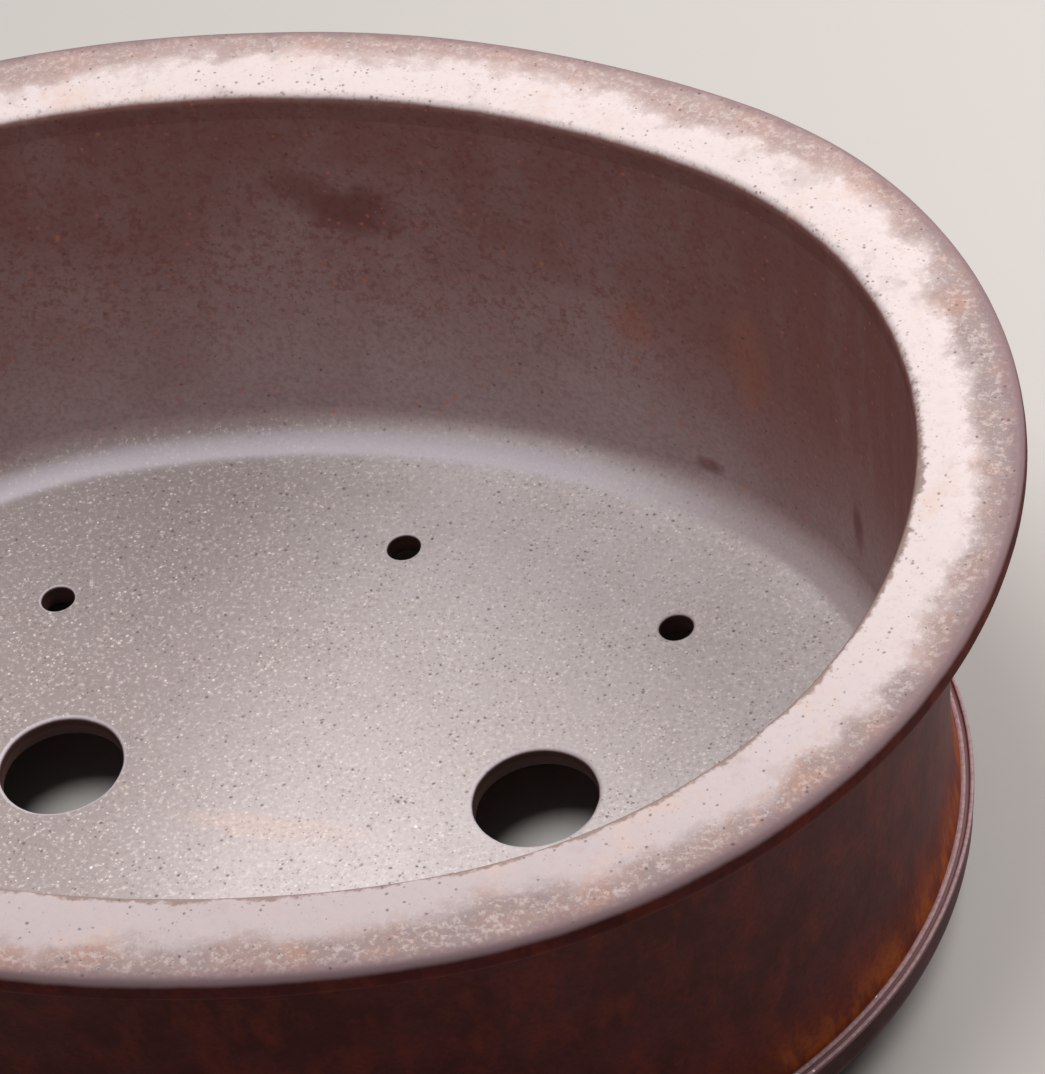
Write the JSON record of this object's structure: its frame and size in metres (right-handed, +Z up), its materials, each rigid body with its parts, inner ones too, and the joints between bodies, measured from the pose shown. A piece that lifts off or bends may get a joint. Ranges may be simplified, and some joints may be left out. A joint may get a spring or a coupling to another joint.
{
  "type": "bonsai pot",
  "caption": "Oval unglazed clay bonsai pot with a broad flat lip, deep basin, drain and wiring holes in the floor, a raised-line base band and low cloud feet.",
  "frame": {"origin": "centre of the footprint, on the surface the feet stand on", "axes": "+X along the pot's length, +Y across it towards the back, +Z up"},
  "size_m": [0.371, 0.299, 0.133],
  "materials": {
    "clay_floor": "unglazed stoneware, matt and sandy, with a grey bloom",
    "clay_wall": "unglazed purple clay, burnished to a low sheen",
    "clay_lip": "unglazed purple clay under a pale pink bloom",
    "clay_base": "unglazed dark purple clay, burnished"
  },
  "bodies": {
    "root": {"floor_slab": "clay_floor", "wall_front": "clay_wall", "wall_back": "clay_wall", "corner_coil": "clay_floor", "lip_ring": "clay_lip", "lip_cove_coil": "clay_wall", "base_band": "clay_base", "foot_front_left": "clay_base", "foot_front_right": "clay_base", "foot_back_left": "clay_base", "foot_back_right": "clay_base"}
  },
  "joints": []
}
